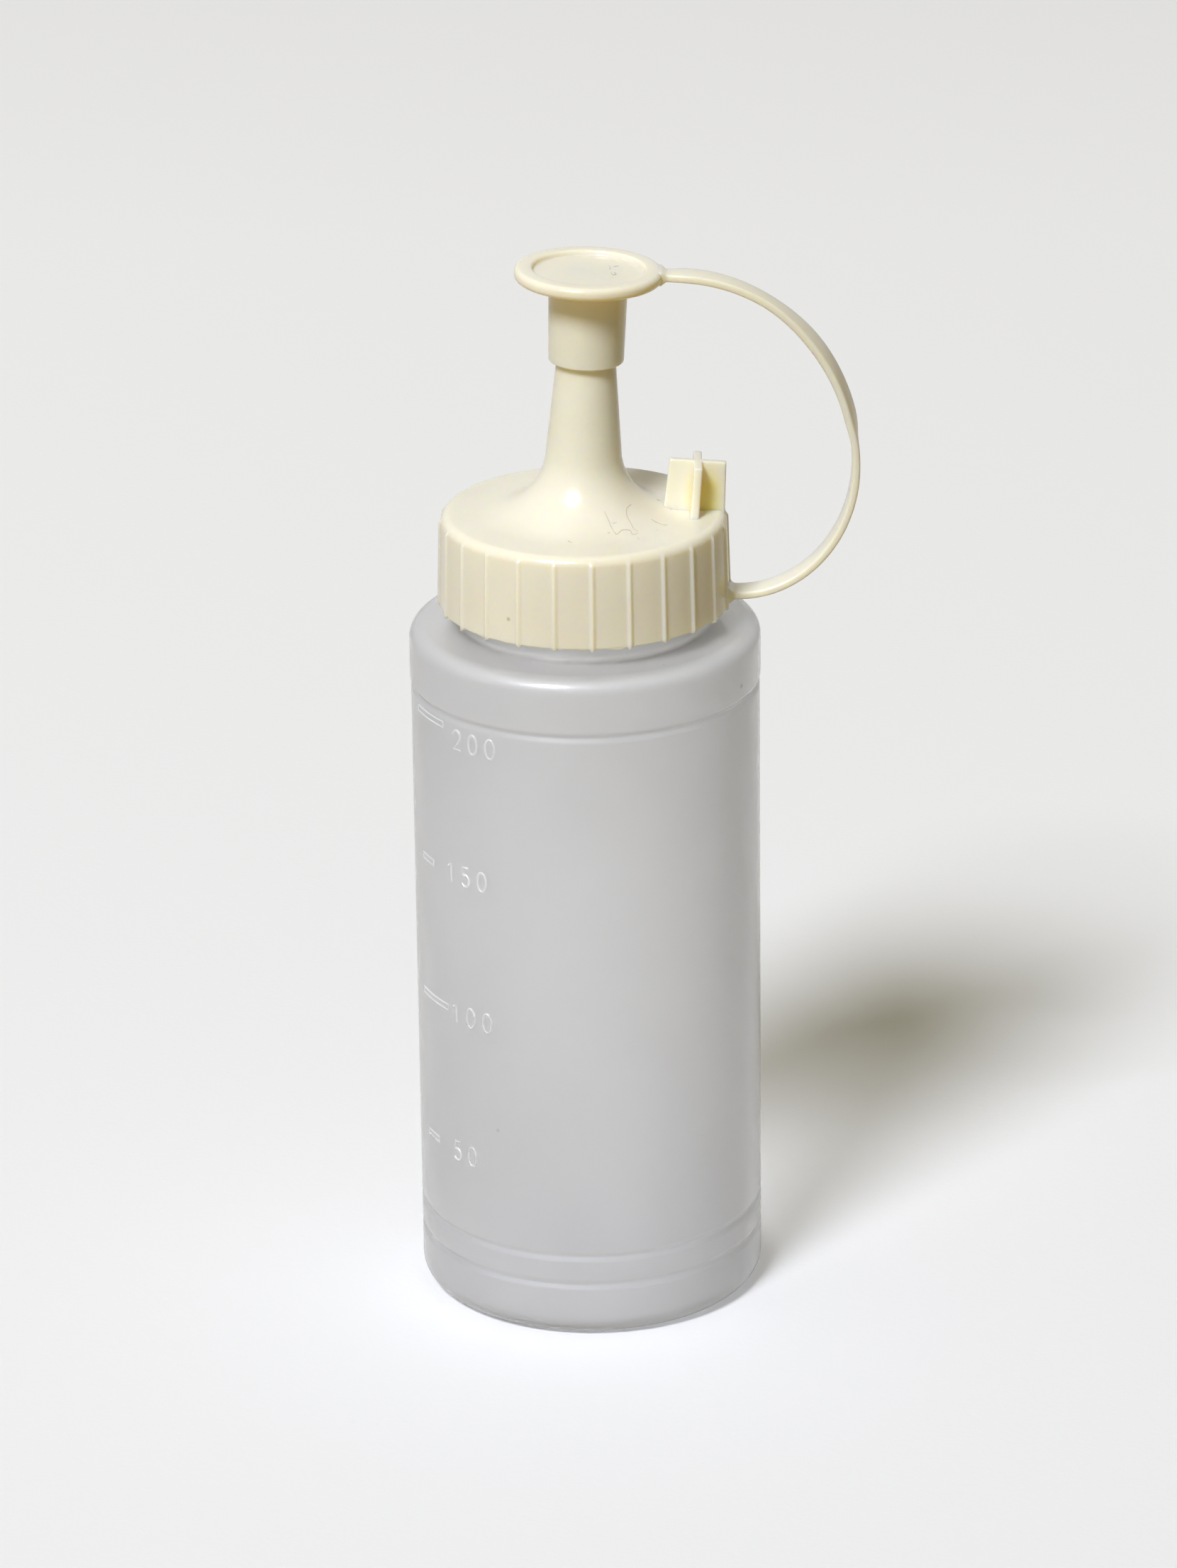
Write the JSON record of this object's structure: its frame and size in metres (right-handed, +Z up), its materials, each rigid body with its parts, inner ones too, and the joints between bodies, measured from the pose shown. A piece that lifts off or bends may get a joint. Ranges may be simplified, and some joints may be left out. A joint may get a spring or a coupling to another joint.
{
  "type": "squeeze sauce bottle",
  "caption": "Frosted squeeze bottle for sauce with a ribbed cream screw cap, a flared nozzle, a parking peg and a tethered nozzle cap.",
  "frame": {"origin": "on the bottle's axis, at the height of the surface that it stands on; the raised middle of the base lies 0.8 mm above it", "axes": "+Z up along the bottle's axis, towards the nozzle; +X towards the strap's loop"},
  "size_m": [0.0695, 0.0542, 0.1673],
  "materials": {
    "bottle": "frosted, translucent, softly glossy",
    "closure": "satin moulded cream"
  },
  "bodies": {
    "bottle": {"bottle": "bottle"},
    "screw_cap": {"screw_cap": "closure", "strap": "closure"},
    "tip_cap": {"tip_cap": "closure"}
  },
  "joints": [
    {"name": "cap_lift", "type": "slide", "parent": "bottle", "child": "screw_cap", "axis": [0, 0, 1], "range_m": [0, 0.025]},
    {"name": "tip_pull", "type": "slide", "parent": "screw_cap", "child": "tip_cap", "axis": [0.0366, 0, 0.9993], "range_m": [0, 0.018], "deforming": ["strap"]}
  ]
}
